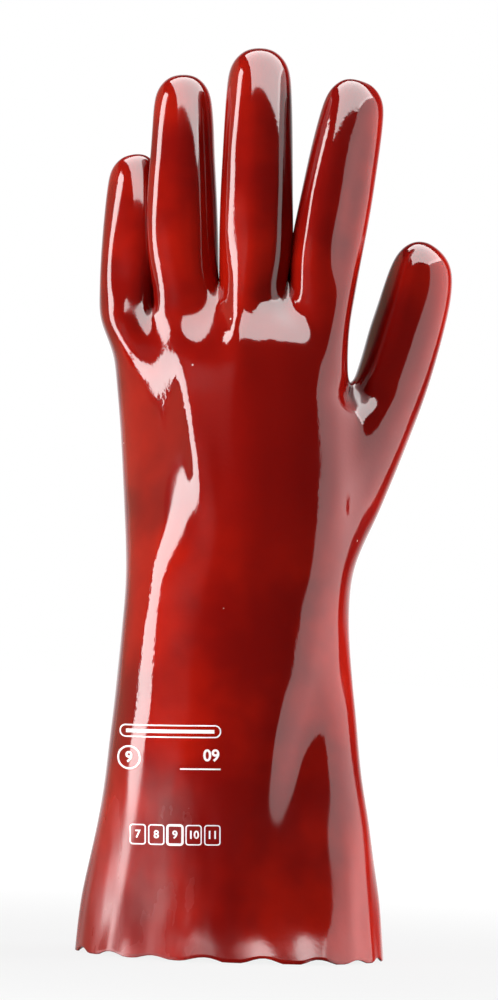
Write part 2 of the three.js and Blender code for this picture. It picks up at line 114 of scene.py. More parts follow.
# Corners of the knuckle ring: how far out in half-depths, and how far below the roots in knuckle depths
ROOT_CORNER = 0.8
ROOT_DROP = 0.1
EDGE_CORNERS = ((0.8, 0.6), (0.93, 0), (0.8, -0.6))
EDGE_DROP = 0.08

# Webs between the fingers: rise and depth in knuckle depths, from the back over the saddle to the palm
WEB_BACK = (-0.24, -0.22)
WEB_SADDLE = (0.12, 0.08)
WEB_PALM = (-0.04, 0.36)

# Up the thumb: out in reaches, up in lengths, across and deep in thumb sizes, y in palm depths, tilt
THUMB_SECTIONS = (
    (0.1, 0.115, 1.92, 1.4, 0.17, 78),
    (0.29, 0.25, 1.5, 1.28, 0.21, 66),
    (0.475, 0.39, 1.25, 1.14, 0.24, 52),
    (0.625, 0.53, 1.1, 1.04, 0.26, 36),
    (0.78, 0.68, 1.0, 0.98, 0.27, 23),
    (0.9, 0.82, 0.95, 0.92, 0.27, 15),
    (0.965, 0.93, 0.82, 0.82, 0.27, 12),
    (0.985, 0.985, 0.47, 0.47, 0.27, 12),
)

# Dents pressed into the back of the skin: x in palm widths, z in glove lengths, half-width and half-height
# in palm widths, lean in degrees, and depth in millimetres (negative swells)
DENTS = (
    # Thumb's root
    (0.49, 0.515, 0.07, 0.16, 12, 2.4),
    (0.43, 0.622, 0.1, 0.05, 0, 2.0),
    # Back of the hand and knuckles
    (-0.212, 0.575, 0.055, 0.34, -12, -1.6),
    (-0.25, 0.705, 0.1, 0.12, 0, 3.4),
    (0.08, 0.721, 0.12, 0.11, 0, 2.8),
    (-0.045, 0.69, 0.06, 0.2, 0, -2.4),
    # Ridges along the little and index fingers and the thumb
    (-0.45, 0.8, 0.08, 0.36, 0, -3.4),
    (0.262, 0.845, 0.075, 0.42, 9, -2.8),
    (0.6, 0.71, 0.07, 0.36, 11, -2.4),
    # Furrow down the cuff
    (0.29, 0.215, 0.125, 0.42, 14, 5.2),
    # Flat flank of the index finger, and a ridge down the middle finger's
    (0.4, 0.845, 0.062, 0.45, 9, 2.0),
    (0.09, 0.85, 0.03, 0.4, 0, -0.9),
    # Swell beside the furrow
    (0.47, 0.1, 0.08, 0.5, 12, -1.6),
    # Flats along the fingers
    (-0.385, 0.885, 0.045, 0.22, 0, 0.9),
    (-0.078, 0.88, 0.045, 0.12, 0, 1.0),
    (-0.085, 0.785, 0.045, 0.16, 0, 0.8),
    (-0.54, 0.765, 0.05, 0.16, 0, 0.9),
    (0.285, 0.846, 0.045, 0.14, 9, 0.8),
)

MILLIMETRE = 0.001

# Slight waviness of the whole skin: wavelength, height and place in the noise
RIPPLES = (
    (0.028, 0.00036, 1),
    (0.018, 0.0002, 3),
    (0.012, 0.00013, 2),
)
FLUTE_HEIGHT = 0.0006  # of the upright flutes above the hem
FLUTE_REACH = 0.08  # how far up the cuff they run

# The print's letters, in heights of a figure
FONT_SIZE = 1.36
FONT_BOLDNESS = 0.03
MOST_HALVINGS = 7  # of an edge of the print

# Middles of the places where the red is deeper: over the back of the hand, and beside the thumb as painted
# shade
BACK_OF_HAND = (0.005, -0.03, 0.205)
SHADE_BESIDE_THUMB = (0.041, 0, 0.243)

# Where the camera looks
CAMERA_X = -0.0074
CAMERA_Z = 0.1764

SKIN_LEVELS = 3  # subdivisions of the cage
HEM_ROWS = 4  # rows of the plain band above the cut
RIM_ROWS = 3  # rows round the cut edge's lip
LINER_GAP = 0.00001  # keeps the liner's face apart from the coating's
LINER_SHORTFALL = 0.0008  # how far above the cut the liner ends
LIP_BULGE = 0.4  # how far the lip rounds down, in thicknesses of the layer


def ring_gain(count):
    """Smoothing pulls a ring of cage points in towards its centre; this sets them out to make up."""
    return 6 / (4 + 2 * math.cos(2 * math.pi / count))


def mix(a, b, share):
    return a + (b - a) * share


def boxy(value, square):
    return math.copysign(abs(value) ** (2 / square), value)


def smooth_step(low, high, value):
    t = np.clip((value - low) / (high - low), 0, 1)
    return t * t * (3 - 2 * t)


class GloveSizes(bpy.types.PropertyGroup):
    """Driving sizes of the glove, the same as the solid's"""

    gauntlet_length: bpy.props.FloatProperty(
        name="Gauntlet Length", description="Hem to the narrow of the wrist", default=0.136, unit="LENGTH"
    )
    cuff_width: bpy.props.FloatProperty(
        name="Cuff Width", description="Across the hem", default=0.119, unit="LENGTH"
    )
    cuff_depth: bpy.props.FloatProperty(
        name="Cuff Depth", description="Front to back at the hem", default=0.084, unit="LENGTH"
    )
    wrist_width: bpy.props.FloatProperty(
        name="Wrist Width", description="Across the wrist", default=0.0868, unit="LENGTH"
    )
    wrist_depth: bpy.props.FloatProperty(
        name="Wrist Depth", description="Front to back at the wrist", default=0.065, unit="LENGTH"
    )
    palm_length: bpy.props.FloatProperty(
        name="Palm Length", description="Wrist to the middle finger's root", default=0.122, unit="LENGTH"
    )
    palm_width: bpy.props.FloatProperty(
        name="Palm Width", description="Across the four finger roots", default=0.096, unit="LENGTH"
    )
    palm_depth: bpy.props.FloatProperty(
        name="Palm Depth", description="Thickest place, at the thumb's ball", default=0.062, unit="LENGTH"
    )
    knuckle_depth: bpy.props.FloatProperty(
        name="Knuckle Depth", description="Front to back where the fingers part", default=0.04, unit="LENGTH"
    )
    little_length: bpy.props.FloatProperty(
        name="Little Finger Length", description="Root to tip", default=0.0615, unit="LENGTH"
    )
    ring_length: bpy.props.FloatProperty(
        name="Ring Finger Length", description="Root to tip", default=0.0852, unit="LENGTH"
    )
    middle_length: bpy.props.FloatProperty(
        name="Middle Finger Length", description="Root to tip", default=0.0932, unit="LENGTH"
    )
    index_length: bpy.props.FloatProperty(
        name="Index Finger Length", description="Root to tip", default=0.082, unit="LENGTH"
    )
    little_width: bpy.props.FloatProperty(
        name="Little Finger Width", description="Across the root", default=0.0228, unit="LENGTH"
    )
    ring_width: bpy.props.FloatProperty(
        name="Ring Finger Width", description="Across the root", default=0.0264, unit="LENGTH"
    )
    middle_width: bpy.props.FloatProperty(
        name="Middle Finger Width", description="Across the root", default=0.0288, unit="LENGTH"
    )
    index_width: bpy.props.FloatProperty(
        name="Index Finger Width", description="Across the root", default=0.0282, unit="LENGTH"
    )
    thumb_length: bpy.props.FloatProperty(
        name="Thumb Length", description="Root to tip, up the glove", default=0.092, unit="LENGTH"
    )
    thumb_reach: bpy.props.FloatProperty(
        name="Thumb Reach", description="Hand to the thumb's tip, across", default=0.024, unit="LENGTH"
    )
    thumb_width: bpy.props.FloatProperty(
        name="Thumb Width", description="Across the thumb", default=0.028, unit="LENGTH"
    )
    thumb_depth: bpy.props.FloatProperty(
        name="Thumb Depth", description="Front to back of the thumb", default=0.027, unit="LENGTH"
    )
    coating_thickness: bpy.props.FloatProperty(
        name="Coating Thickness", description="Thickness of the dipped skin", default=0.001, unit="LENGTH"
    )
    liner_thickness: bpy.props.FloatProperty(
        name="Liner Thickness", description="Thickness of the knitted liner", default=0.0005, unit="LENGTH"
    )
    hem_band: bpy.props.FloatProperty(
        name="Hem Band", description="Height of the plain band above the cut", default=0.005, unit="LENGTH"
    )
    hem_wave: bpy.props.FloatProperty(
        name="Hem Wave", description="Height of the waves left by the cut", default=0.002, unit="LENGTH"
    )
    hem_waves: bpy.props.IntProperty(name="Hem Waves", description="Waves round the whole hem", default=17)


class Cage:
    """The coarse mesh of rings that is smoothed into the skin."""

    def __init__(self, sizes):
        self.sizes = sizes
        self.points = []
        self.quads = []

    def add(self, x, y, z):
        self.points.append(Vector((x, y, z)))
        return len(self.points) - 1

    def join(self, lower, upper, skipped=()):
        count = len(lower)
        for i in range(count):
            if i not in skipped:
                after = (i + 1) % count
                self.quads.append((lower[i], lower[after], upper[after], upper[i]))

    def hand_ring(self, left, right, back, palm, square, skew, slant, fall, z):
        gain = ring_gain(COLUMNS)
        middle = (left + right) / 2
        half_width = (right - left) / 2 * gain
        ring = []
        for column in range(COLUMNS):
            angle = 2 * math.pi * column / COLUMNS
            depth = (palm if angle < math.pi else -back) * gain
            x = middle + half_width * boxy(math.cos(angle), square)
            y = depth * boxy(math.sin(angle), square) + skew * x
            share = mix(1, PALM_FALL, (1 + math.sin(angle)) / 2)
            y += fall * share * max(0, RIDGE * self.sizes.palm_width - x)
            ring.append(self.add(x, y, z + slant * x))
        return ring

    def gauntlet_ring(self, up, flare_left, flare_right, flare_depth):
        s = self.sizes
        half_depth = mix(s.wrist_depth, s.cuff_depth, flare_depth) / 2
        lean = CUFF_LEAN * s.palm_width * up
        left = lean - mix(s.wrist_width, s.cuff_width, flare_left) / 2
        right = lean + mix(s.wrist_width, s.cuff_width, flare_right) / 2
        z = mix(s.hem_band, s.gauntlet_length, up)
        return self.hand_ring(left, right, -half_depth, half_depth, 2, 0, 0, 0, z)

    def palm_ring(self, up, left, right, back, palm, square, slant, fall):
        s = self.sizes
        edges = (left * s.palm_width, right * s.palm_width)
        sides = (back * s.palm_depth, palm * s.palm_depth)
        z = s.gauntlet_length + up * s.palm_length
        return self.hand_ring(*edges, *sides, square, SKEW, slant, fall, z)

    def finger_centre(self, finger, share):
        """Where a finger's middle line runs: share 0 is its root and 1 its tip."""
        s = self.sizes
        name, x, tip_x, drop, y, curl = finger
        length = getattr(s, name + "_length")
        return Vector(
            (
                s.palm_width * mix(x, tip_x, share),
                s.knuckle_depth * y + curl * length * share**2,
                s.gauntlet_length + s.palm_length * (1 - drop) + length * share,
            )
        )

    def knuckle_ring(self):
        """The ring round the four finger roots, with the three webs' saddle points."""
        s = self.sizes
        ring = [None] * COLUMNS
        saddles = []
        half_depth = s.knuckle_depth / 2 * ring_gain(FINGER_COLUMNS)
        roots = [self.finger_centre(finger, 0) for finger in FINGERS]
        widths = [getattr(s, finger[0] + "_width") for finger in FINGERS]
        for i, root in enumerate(roots):
            out = ROOT_CORNER * half_depth
            z = root.z - ROOT_DROP * s.knuckle_depth
            ring[12 + 2 * i] = self.add(root.x, root.y - out, z)
            ring[8 - 2 * i] = self.add(root.x, root.y + out, z)
            if i == len(roots) - 1:
                continue
            after = roots[i + 1]
            x = (root.x + widths[i] / 2 + after.x - widths[i + 1] / 2) / 2
            y = (root.y + after.y) / 2
            z = (root.z + after.z) / 2
            placed = [
                self.add(x, y + depth * s.knuckle_depth, z + rise * s.knuckle_depth)
                for rise, depth in (WEB_BACK, WEB_PALM, WEB_SADDLE)
            ]
            ring[13 + 2 * i], ring[7 - 2 * i] = placed[:2]
            saddles.append(placed[2])
        for root, width, side, columns in (
            (roots[0], widths[0], -1, (9, 10, 11)),
            (roots[-1], widths[-1], 1, (1, 0, 19)),
        ):
            out = width / 2 * ring_gain(FINGER_COLUMNS)
            z = root.z - EDGE_DROP * s.knuckle_depth
            for column, (share, depth) in zip(columns, EDGE_CORNERS):
                ring[column] = self.add(root.x + side * out * share, root.y + depth * half_depth, z)
        return ring, saddles

    def limb_ring(self, centre, across, deep, half_width, half_depth, count, turn=0.0):
        gain = ring_gain(count)
        ring = []
        for i in range(count):
            angle = 2 * math.pi * i / count + turn
            sideways = across * (half_width * gain * math.cos(angle))
            ring.append(self.add(*(centre + sideways + deep * (half_depth * gain * math.sin(angle)))))
        return ring

    def close_end(self, ring, outward, dome):
        """Closes a ring with a square grid of quads whose corners are ring points 1, 1 + side and so on."""
        side = len(ring) // 4

        def at(i):
            return ring[i % len(ring)]

        def point(i):
            return self.points[at(i)]

        grid = [[None] * (side + 1) for _ in range(side + 1)]
        for i in range(side + 1):
            grid[i][0] = at(1 + i)
            grid[side][i] = at(1 + side + i)
            grid[i][side] = at(1 + 3 * side - i)
            grid[0][i] = at(1 + 4 * side - i)
        centre = sum((self.points[i] for i in ring), Vector()) / len(ring)
        for i in range(1, side):
            for j in range(1, side):
                across = point(1 + 4 * side - j).lerp(point(1 + side + j), i / side)
                along = point(1 + i).lerp(point(1 + 3 * side - i), j / side)
                inner = ((across + along) / 2).lerp(centre, 0.1) + outward * dome
                grid[i][j] = self.add(*inner)
        for i in range(side):
            for j in range(side):
                self.quads.append((grid[i][j], grid[i + 1][j], grid[i + 1][j + 1], grid[i][j + 1]))

    def add_finger(self, finger, root):
        s = self.sizes
        length = getattr(s, finger[0] + "_length")
        half_width = getattr(s, finger[0] + "_width") / 2
        end_start = 1 - half_width / length
        sections = [(along * end_start, girth) for along, girth in FINGER_SHAFT]
        sections += [(1 - below * half_width / length, girth) for below, girth in ROUND_END]
        last = root
        for share, girth in sections:
            outward = self.finger_centre(finger, share + 0.02) - self.finger_centre(finger, share - 0.02)
            outward.normalize()
            across = (Vector((1, 0, 0)) - outward * outward.x).normalized()
            deep = outward.cross(across)
            size = half_width * girth
            centre = self.finger_centre(finger, share)
            ring = self.limb_ring(centre, across, deep, size, size * FINGER_ROUNDNESS, FINGER_COLUMNS)
            self.join(last, ring)
            last = ring
        self.close_end(last, outward, END_DOME * half_width)

    def add_thumb(self, root):
        s = self.sizes
        root_x = HAND_SECTIONS[THUMB_ROOT_SECTION][2] * s.palm_width
        root_z = s.gauntlet_length + THUMB_ROOT_UP * s.palm_length
        last = root
        for out, up, across, deep, y, tilt in THUMB_SECTIONS:
            lean = math.radians(tilt)
            outward = Vector((math.sin(lean), 0, math.cos(lean)))
            level = Vector((math.cos(lean), 0, -math.sin(lean)))
            centre = Vector((root_x + out * s.thumb_reach, y * s.palm_depth, root_z + up * s.thumb_length))
            half_width = across * s.thumb_width / 2
            half_depth = deep * s.thumb_depth / 2
            turn = math.pi / THUMB_COLUMN_COUNT
            to_palm = Vector((0, 1, 0))
            ring = self.limb_ring(centre, level, to_palm, half_width, half_depth, THUMB_COLUMN_COUNT, turn)
            self.join(last, ring)
            last = ring
        self.close_end(last, outward, END_DOME * s.thumb_width / 2)

    def build(self):
        gauntlet = [self.gauntlet_ring(*section) for section in GAUNTLET_SECTIONS]
        palm = [self.palm_ring(*section) for section in HAND_SECTIONS]
        for column, depth in KNUCKLE_GROOVES:
            self.points[palm[-1][column]].y += depth * self.sizes.palm_depth
        knuckles, saddles = self.knuckle_ring()
        rings = gauntlet + palm + [knuckles]
        first_palm = len(gauntlet)
        for i, upper in enumerate(rings[1:]):
            beside_thumb = first_palm <= i < first_palm + 3
            self.join(rings[i], upper, THUMB_COLUMNS[:-1] if beside_thumb else ())
        for i, finger in enumerate(FINGERS):
            back = 12 + 2 * i
            front = 8 - 2 * i
            right_side = saddles[i] if i < 3 else knuckles[0]
            left_side = saddles[i - 1] if i > 0 else knuckles[10]
            around_palm = [knuckles[front - 1], knuckles[front], knuckles[front + 1]]
            around_back = [knuckles[back - 1], knuckles[back], knuckles[back + 1]]
            self.add_finger(finger, [right_side, *around_palm, left_side, *around_back])
        outer_back, near_back, near_palm, outer_palm = THUMB_COLUMNS
        bottom, lower, upper, top = palm[:4]
        up_palm = [row[outer_palm] for row in (bottom, lower, upper, top)]
        down_back = [row[outer_back] for row in (top, upper, lower, bottom)]
        over_top = [top[near_palm], top[near_back]]
        self.add_thumb([bottom[near_palm], *up_palm, *over_top, *down_back, bottom[near_back]])


def new_object(name, points, faces):
    mesh = bpy.data.meshes.new(name)
    mesh.from_pydata([tuple(p) for p in points], [], [tuple(f) for f in faces])
    mesh.validate()
    obj = bpy.data.objects.new(name, mesh)
    bpy.context.scene.collection.objects.link(obj)
    return obj


def smoothed_cage(sizes):
    """The cage smoothed by a subdivision surface, as points and quads."""
    cage = Cage(sizes)
    cage.build()
    used = sorted({p for quad in cage.quads for p in quad})
    place = {p: i for i, p in enumerate(used)}
    quads = [[place[p] for p in quad] for quad in cage.quads]
    coarse = new_object("glove_cage", [cage.points[p] for p in used], quads)
    rounding = coarse.modifiers.new("rounding", "SUBSURF")
    rounding.levels = SKIN_LEVELS
    rounding.use_limit_surface = True
    evaluated = coarse.evaluated_get(bpy.context.evaluated_depsgraph_get())
    mesh = evaluated.to_mesh()
    points = np.empty(len(mesh.vertices) * 3)
    mesh.vertices.foreach_get("co", points)
    corners = np.empty(len(mesh.loops), int)
    mesh.loops.foreach_get("vertex_index", corners)
    evaluated.to_mesh_clear()
    bpy.data.objects.remove(coarse)
    return points.reshape(-1, 3), corners.reshape(-1, 4)


def normals_of(points, quads):
    a, b, c, d = (points[quads[:, i]] for i in range(4))
    face = np.cross(c - a, d - b)
    normals = np.zeros_like(points)
    for i in range(4):
        np.add.at(normals, quads[:, i], face)
    return normals / np.linalg.norm(normals, axis=1, keepdims=True)


def dent_depths(points, normals, sizes):
    """How deep the dents are at each point of the skin, in metres."""
    glove_length = sizes.gauntlet_length + sizes.palm_length + sizes.middle_length
    total = np.zeros(len(points))
    facing_back = smooth_step(-0.1, 0.4, -normals[:, 1])
    for x, z, wide, high, turn, deep in DENTS:
        lean = math.radians(turn)
        dx = points[:, 0] - x * sizes.palm_width
        dz = points[:, 2] - z * glove_length
        across = (dx * math.cos(lean) - dz * math.sin(lean)) / (wide * sizes.palm_width)
        along = (dx * math.sin(lean) + dz * math.cos(lean)) / (high * sizes.palm_width)
        total += deep * MILLIMETRE * facing_back * np.exp(-(across**2) - along**2)
    return total


def ripples(points):
    """Smooth noise at each point, in metres, longer up the glove than across it."""
    total = np.zeros(len(points))
    for wavelength, height, place in RIPPLES:
        shift = Vector((place * 7.31, place * 3.17, place * 5.93))
        stretch = Vector((1 / wavelength, 1 / wavelength, 0.6 / wavelength))
        total += height * np.array([noise.noise(Vector(p) * stretch + shift) for p in points])
    return total


def hem_flutes(points):
    """Shallow upright flutes that rise from the hem and fade out up the cuff."""
    near_hem = points[:, 2] < FLUTE_REACH
    flutes = np.zeros(len(points))
    stretch = Vector((140, 140, 14))
    flutes[near_hem] = [noise.noise(Vector(p) * stretch) for p in points[near_hem]]
    return FLUTE_HEIGHT * flutes * (1 - smooth_step(0, FLUTE_REACH, points[:, 2]))


def hem_height(share, sizes):
    """Height of the wavy cut at a share of the way round the hem."""
    turn = 2 * np.pi * share
    wave = np.sin(sizes.hem_waves * turn) + 0.3 * np.sin((sizes.hem_waves - 4) * turn + 1)
    return np.maximum(0, sizes.hem_wave * (wave + 0.6) / 1.9)


def hem_loop(points, quads):
    """The skin's lowest row, in order round the hem from the thumb's side."""
    ends = np.stack([quads, np.roll(quads, -1, axis=1)], axis=2).reshape(-1, 2)
    seen = dict.fromkeys((a, b) for a, b in ends.tolist())
    after = {a: b for a, b in seen if (b, a) not in seen}
    start = max(after, key=lambda p: points[p][0])
    loop = [start]
    while after[loop[-1]] != start:
        loop.append(after[loop[-1]])
    return np.array(loop)


def glove_skin(sizes):
    """Points, normals and quads of the whole outer skin, and its hem loop."""
    points, quads = smoothed_cage(sizes)
    normals = normals_of(points, quads)
    depth = dent_depths(points, normals, sizes) + ripples(points) + hem_flutes(points)
    points = points - normals * depth[:, None]
    normals = normals_of(points, quads)
    return points, normals, quads, hem_loop(points, quads)


def hem_rows(points, normals, loop, sizes, inset, lift):
    """Rows of points that carry one face of the skin down to the wavy cut."""
    base = points[loop] - normals[loop] * inset
    out = normals[loop] * np.array((1, 1, 0))
    length = np.linalg.norm(out, axis=1, keepdims=True)
    out = out / length
    flare = np.clip(normals[loop][:, 2:3] / length, -0.5, 0.5)
    share = np.arange(len(loop)) / len(loop)
    cut = hem_height(share, sizes) + lift
    rows = []
    for row in range(1, HEM_ROWS + 1):
        drop = (base[:, 2] - cut)[:, None] * row / HEM_ROWS
        rows.append(base + out * flare * drop - np.array((0, 0, 1)) * drop)
    return rows


def closed_layer(name, sizes, outer, inner, lift):
    """A closed skin between two depths under the glove's surface, ending in the wavy hem."""
    points, normals, quads, loop = glove_skin(sizes)
    count = len(points)
    skins = [points - normals * outer, points - normals * inner]
    faces = [quads, quads[:, ::-1] + count]
    rows_out = hem_rows(points, normals, loop, sizes, outer, lift)
    rows_in = hem_rows(points, normals, loop, sizes, inner, lift)
    lip = []
    for step in range(1, RIM_ROWS + 1):
        angle = math.pi * step / (RIM_ROWS + 1)
        middle = (rows_out[-1] + rows_in[-1]) / 2
        half = (rows_out[-1] - rows_in[-1]) / 2
        bulge = LIP_BULGE * (inner - outer) * math.sin(angle)
        lip.append(middle + half * math.cos(angle) - np.array((0, 0, bulge)))
    low = min(row[:, 2].min() for row in lip)
    around = rows_out + lip + rows_in[::-1]
    all_points = np.vstack(skins + around)
    columns = len(loop)
    starts = [2 * count + i * columns for i in range(len(around))]
    rings = [loop] + [np.arange(columns) + start for start in starts] + [loop + count]
    for upper, lower in zip(rings, rings[1:]):
        faces.append(np.stack([upper, lower, np.roll(lower, -1), np.roll(upper, -1)], axis=1))
    middle_of_box = [(SOLID_LOW[i] + SOLID_HIGH[i]) / 2 for i in range(2)]
    reach_low, reach_high = points.min(axis=0), points.max(axis=0)
    hem_low, hem_high = rows_out[-1].min(axis=0), rows_out[-1].max(axis=0)
    for i in range(2):
        low_edge = min(reach_low[i], hem_low[i])
        high_edge = max(reach_high[i], hem_high[i])
        all_points[:, i] += middle_of_box[i] - (low_edge + high_edge) / 2
    all_points[:, 2] += SOLID_LOW[2] - min(low, 0)
    obj = new_object(name, all_points, np.vstack(faces))
    obj.data.polygons.foreach_set("use_smooth", [True] * len(obj.data.polygons))
    return obj


class Nodes:
    """A material's node tree, built step by step."""

    def __init__(self, name):
        self.material = bpy.data.materials.new(name)
        self.material.use_nodes = True
        self.tree = self.material.node_tree
        self.tree.nodes.clear()
        self.output = self.tree.nodes.new("ShaderNodeOutputMaterial")
        self.shader = self.tree.nodes.new("ShaderNodeBsdfPrincipled")
        self.link(self.shader.outputs["BSDF"], self.output.inputs["Surface"])
        self.place = self.tree.nodes.new("ShaderNodeTexCoord").outputs["Object"]

    def link(self, source, target):
        self.tree.links.new(source, target)

    def axis(self, name):
        split = self.tree.nodes.new("ShaderNodeSeparateXYZ")
        self.link(self.place, split.inputs["Vector"])
        return split.outputs[name]

    def reach(self, centre):
        """Distance from a place on the glove."""
        node = self.tree.nodes.new("ShaderNodeVectorMath")
        node.operation = "DISTANCE"
        node.inputs[1].default_value = centre
        self.link(self.place, node.inputs[0])
        return node.outputs["Value"]

    def stretched(self, scale):
        mapping = self.tree.nodes.new("ShaderNodeMapping")
        mapping.inputs["Scale"].default_value = scale
        self.link(self.place, mapping.inputs["Vector"])
        return mapping.outputs["Vector"]

    def cloud(self, scale, detail=2.0, roughness=0.5, place=None):
        node = self.tree.nodes.new("ShaderNodeTexNoise")
        node.inputs["Scale"].default_value = scale
        node.inputs["Detail"].default_value = detail
        node.inputs["Roughness"].default_value = roughness
        self.link(place or self.place, node.inputs["Vector"])
        return node.outputs["Fac"]

    def cells(self, scale):
        node = self.tree.nodes.new("ShaderNodeTexVoronoi")
        node.inputs["Scale"].default_value = scale
        self.link(self.place, node.inputs["Vector"])
        return node.outputs["Distance"], node.outputs["Color"]

    def ranged(self, value, low, high, to_low=0.0, to_high=1.0):
        node = self.tree.nodes.new("ShaderNodeMapRange")
        node.interpolation_type = "SMOOTHSTEP"
        ends = {"From Min": low, "From Max": high, "To Min": to_low, "To Max": to_high}
        for name, number in ends.items():
            node.inputs[name].default_value = number
        self.link(value, node.inputs["Value"])
        return node.outputs["Result"]

    def math(self, operation, a, b):
        node = self.tree.nodes.new("ShaderNodeMath")
        node.operation = operation
        for socket, value in zip(node.inputs, (a, b)):
            if isinstance(value, (int, float)):
                socket.default_value = value
            else:
                self.link(value, socket)
        return node.outputs["Value"]

    def blended(self, share, a, b):
        node = self.tree.nodes.new("ShaderNodeMix")
        node.data_type = "RGBA"
        self.link(share, node.inputs["Factor"])
        sockets = [s for s in node.inputs if s.type == "RGBA"]
        for socket, value in zip(sockets, (a, b)):
            if isinstance(value, bpy.types.NodeSocket):
                self.link(value, socket)
            else:
                socket.default_value = (*value[:3], 1)
        return [s for s in node.outputs if s.type == "RGBA"][0]

    def bump(self, height, distance, before=None):
        node = self.tree.nodes.new("ShaderNodeBump")
        node.inputs["Distance"].default_value = distance
        self.link(height, node.inputs["Height"])
        if before is not None:
            self.link(before, node.inputs["Normal"])
        return node.outputs["Normal"]


class CoatingLook(bpy.types.PropertyGroup):
    """Colours and gloss of the dipped PVC"""

    red: bpy.props.FloatVectorProperty(
        name="Red", description="Colour of the coating", subtype="COLOR", default=(0.37, 0.008, 0.0024)
    )
    # Deeper red of the random patches and of the back of the hand, also used as painted shade beside the
    # thumb
    deep_red: bpy.props.FloatVectorProperty(
        name="Deep Red", description="Deeper red of the patches, and painted shade beside the thumb", subtype="COLOR", default=(0.21, 0.0035, 0.002)
    )
    dust: bpy.props.FloatVectorProperty(
        name="Dust", description="Colour of the dust specks", subtype="COLOR", default=(0.6, 0.42, 0.38)
    )
    roughness: bpy.props.FloatProperty(
        name="Roughness", description="Roughness of the wet gloss", default=0.06, subtype="FACTOR"
    )
    scuffing: bpy.props.FloatProperty(
        name="Scuffing", description="Roughness of the cuff's streaks", default=0.3, subtype="FACTOR"
    )
    refraction: bpy.props.FloatProperty(
        name="Refractive Index", description="Refractive index of the coating", default=1.53, min=1
    )


def coating_colour(nodes, look, specks):
    """Red that deepens in random patches and over the back of the hand, with painted shade beside the thumb
    and dust on it.
    """
    patches = nodes.ranged(nodes.cloud(22, 3, 0.5), 0.38, 0.64)
    mottle = nodes.ranged(nodes.cloud(140, 3, 0.6), 0.2, 0.8, 0.75, 1.0)
    off_back = nodes.ranged(nodes.reach(BACK_OF_HAND), 0.02, 0.075, 0.1, 1)
    # Painted shade: the red deepens on the thumb's side next to the hand, where the hand shades it
    unshaded_beside_thumb = nodes.ranged(nodes.reach(SHADE_BESIDE_THUMB), 0.012, 0.03)
    lighter_unshaded = nodes.math("MULTIPLY", nodes.math("MULTIPLY", patches, mottle), unshaded_beside_thumb)
    red = nodes.blended(nodes.math("MULTIPLY", lighter_unshaded, off_back), look.deep_red, look.red)
    return nodes.blended(specks, red, look.dust)


def coating_roughness(nodes, look, specks):
    """Wet gloss with faint smudges, scuffed in streaks low on the little finger's side."""
    smudges = nodes.ranged(nodes.cloud(60, 4, 0.6), 0.45, 0.75, look.roughness, look.roughness + 0.05)
    low_down = nodes.ranged(nodes.axis("Z"), 0.05, 0.085, 1, 0)
    little_side = nodes.ranged(nodes.axis("X"), -0.03, 0.01, 1, 0.3)
    upright = nodes.stretched((1, 1, 0.2))
    streaks = nodes.ranged(nodes.cloud(70, 3, 0.6, upright), 0.3, 0.7, 0.1, look.scuffing)
    scuffed = nodes.math("MULTIPLY", nodes.math("MULTIPLY", low_down, little_side), streaks)
    worn = nodes.math("ADD", smudges, scuffed)
    return nodes.math("ADD", worn, nodes.math("MULTIPLY", specks, 0.5))


def coating_material(look):
    nodes = Nodes("red_pvc")
    distance, pick = nodes.cells(130)
    dots = nodes.ranged(distance, 0.035, 0.06, 1, 0)
    specks = nodes.math("MULTIPLY", dots, nodes.ranged(pick, 0.8, 0.81))
    nodes.link(coating_colour(nodes, look, specks), nodes.shader.inputs["Base Color"])
    nodes.link(coating_roughness(nodes, look, specks), nodes.shader.inputs["Roughness"])
    nodes.shader.inputs["IOR"].default_value = look.refraction
    waves = nodes.bump(nodes.cloud(70, 1, 0.5, nodes.stretched((1, 1, 0.45))), 0.0004)
    patchy = nodes.ranged(nodes.cloud(28, 2), 0.4, 0.66)
    crinkle = nodes.bump(nodes.math("MULTIPLY", nodes.cloud(600, 1, 0.5), patchy), 0.00004, waves)
    nodes.link(nodes.bump(specks, 0.0001, crinkle), nodes.shader.inputs["Normal"])
    return nodes.material


def finish_piece(obj, material):
    obj.data.materials.append(material)
    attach(obj, "root")
    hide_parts(SOLID)


class GLOVE_OT_coating(bpy.types.Operator):
    """Dip the glove's red coating over the hand form"""

    bl_idname = "glove.coating"
    bl_label = "Red Coating"

    def execute(self, context):
        sizes = context.scene.glove_sizes
        obj = closed_layer("glove_coating", sizes, 0.0, sizes.coating_thickness, 0.0)
        finish_piece(obj, coating_material(context.scene.coating_look))
        return {"FINISHED"}


class LinerLook(bpy.types.PropertyGroup):
    """Colours of the knitted liner"""

    yarn: bpy.props.FloatVectorProperty(
        name="Yarn", description="Colour of the yarn", subtype="COLOR", default=(0.72, 0.68, 0.60)
    )
    shade: bpy.props.FloatVectorProperty(
        name="Shade", description="Colour between the loops", subtype="COLOR", default=(0.42, 0.36, 0.30)
    )


def liner_material(look):
    nodes = Nodes("knitted_liner")
    wales = nodes.stretched((900, 900, 450))
    loops = nodes.ranged(nodes.cloud(1, place=wales), 0.35, 0.65)
    nodes.link(nodes.blended(loops, look.shade, look.yarn), nodes.shader.inputs["Base Color"])
    nodes.shader.inputs["Roughness"].default_value = 0.95
    nodes.shader.inputs["Sheen Weight"].default_value = 0.3
    nodes.link(nodes.bump(loops, 0.0004), nodes.shader.inputs["Normal"])
    return nodes.material


class GLOVE_OT_liner(bpy.types.Operator):
    """Knit the liner that is fused to the inside of the coating"""

    bl_idname = "glove.liner"
    bl_label = "Knitted Liner"

    def execute(self, context):
        sizes = context.scene.glove_sizes
        inner = sizes.coating_thickness + sizes.liner_thickness
        outer = sizes.coating_thickness + LINER_GAP
        obj = closed_layer("glove_liner", sizes, outer, inner, LINER_SHORTFALL)
        finish_piece(obj, liner_material(context.scene.liner_look))
        return {"FINISHED"}


